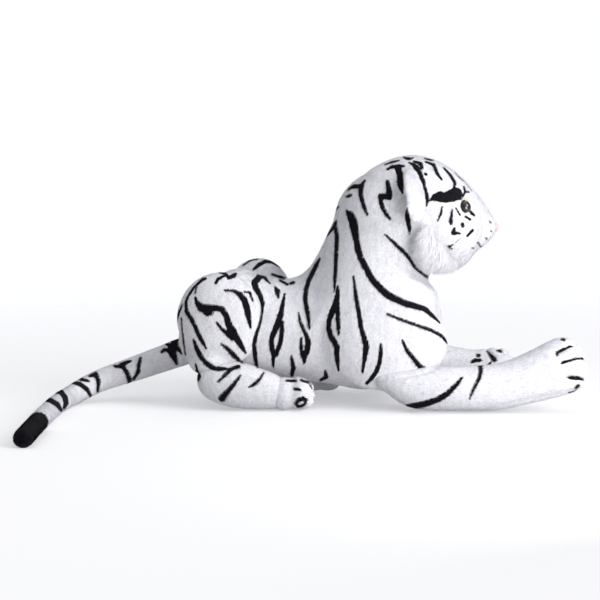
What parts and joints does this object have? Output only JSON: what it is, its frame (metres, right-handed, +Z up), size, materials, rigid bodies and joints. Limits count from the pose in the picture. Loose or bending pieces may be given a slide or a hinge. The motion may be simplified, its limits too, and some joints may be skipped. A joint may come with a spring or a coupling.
{
  "type": "plush tiger",
  "caption": "Stuffed white tiger lying on its belly, neck and head raised, black printed stripes, long tail and stretched forelegs.",
  "frame": {"origin": "middle of the outer box of the whole toy, tail and forelegs included, on the floor it lies on", "axes": "+X the way the tiger looks and its forelegs point, +Y its left side, +Z up from the floor"},
  "size_m": [0.547, 0.3594, 0.2579],
  "materials": {
    "white_plush": "matte short pile, black printed stripes",
    "long_pile": "matte long pile",
    "black_plush": "matte short pile",
    "seam_cloth": "matte woven",
    "pink_nose": "satin",
    "eye_plastic": "gloss",
    "washer_plastic": "matte"
  },
  "bodies": {
    "root": {"torso": "white_plush", "thigh_left": "white_plush", "thigh_right": "white_plush", "shin_left": "white_plush", "shin_right": "white_plush"},
    "neck": {"neck_seam": "seam_cloth"},
    "head": {"head": "white_plush", "muzzle": "white_plush", "nose": "pink_nose", "chin": "white_plush", "eye_left": "eye_plastic", "eye_right": "eye_plastic", "eye_washer_left": "washer_plastic", "eye_washer_right": "washer_plastic", "cheek_ruff_left": "long_pile", "cheek_ruff_right": "long_pile"},
    "ear_left": {"ear_left": "white_plush"},
    "ear_right": {"ear_right": "white_plush"},
    "foreleg_left": {"foreleg_left": "white_plush"},
    "foreleg_right": {"foreleg_right": "white_plush"},
    "hind_paw_left": {"hind_paw_left": "white_plush"},
    "hind_paw_right": {"hind_paw_right": "white_plush"},
    "tail_base": {"tail_base": "white_plush"},
    "tail_middle": {"tail_middle": "white_plush"},
    "tail_end": {"tail_end": "white_plush", "tail_tip": "black_plush"}
  },
  "joints": [
    {"name": "head_turn", "type": "hinge", "parent": "root", "child": "neck", "pos_m": [0.0792, 0.0818, 0.182], "axis": [0, 0, 1], "range_deg": [-20, 20], "stiffness_Nm_per_rad": 0.8},
    {"name": "head_nod", "type": "hinge", "parent": "neck", "child": "head", "pos_m": [0.0792, 0.0818, 0.182], "axis": [-0.1908, 0.9816, 0], "range_deg": [-15, 6], "stiffness_Nm_per_rad": 1.2},
    {"name": "ear_right", "type": "hinge", "parent": "head", "child": "ear_right", "pos_m": [0.11113, 0.03545, 0.2215], "axis": [-0.1156, 0.4895, 0.8643], "range_deg": [0, 50], "stiffness_Nm_per_rad": 0.01},
    {"name": "ear_left", "type": "hinge", "parent": "head", "child": "ear_left", "pos_m": [0.09144, 0.13675, 0.2215], "axis": [-0.0762, 0.4971, -0.8643], "range_deg": [0, 50], "stiffness_Nm_per_rad": 0.01},
    {"name": "foreleg_right", "type": "hinge", "parent": "root", "child": "foreleg_right", "pos_m": [0.0802, 0.0178, 0.0235], "axis": [0, 0, 1], "range_deg": [-20, 4], "stiffness_Nm_per_rad": 0.3},
    {"name": "foreleg_left", "type": "hinge", "parent": "root", "child": "foreleg_left", "pos_m": [0.0702, 0.1458, 0.0235], "axis": [0, 0, 1], "range_deg": [-4, 20], "stiffness_Nm_per_rad": 0.3},
    {"name": "hind_paw_right", "type": "hinge", "parent": "root", "child": "hind_paw_right", "pos_m": [-0.0323, 0.0233, 0.0167], "axis": [0, 0, 1], "range_deg": [-20, 5], "stiffness_Nm_per_rad": 0.05},
    {"name": "hind_paw_left", "type": "hinge", "parent": "root", "child": "hind_paw_left", "pos_m": [-0.0023, 0.1448, 0.0167], "axis": [0, 0, 1], "range_deg": [-5, 20], "stiffness_Nm_per_rad": 0.05},
    {"name": "tail_base", "type": "hinge", "parent": "root", "child": "tail_base", "pos_m": [-0.1438, 0.0818, 0.052], "axis": [0, 0, 1], "range_deg": [-30, 30], "stiffness_Nm_per_rad": 0.02},
    {"name": "tail_middle", "type": "hinge", "parent": "tail_base", "child": "tail_middle", "pos_m": [-0.24327, 0.06526, 0.01492], "axis": [0, 0, 1], "range_deg": [-35, 35], "stiffness_Nm_per_rad": 0.02},
    {"name": "tail_end", "type": "hinge", "parent": "tail_middle", "child": "tail_end", "pos_m": [-0.26254, -0.02974, 0.00896], "axis": [0, 0, 1], "range_deg": [-35, 35], "stiffness_Nm_per_rad": 0.02}
  ]
}
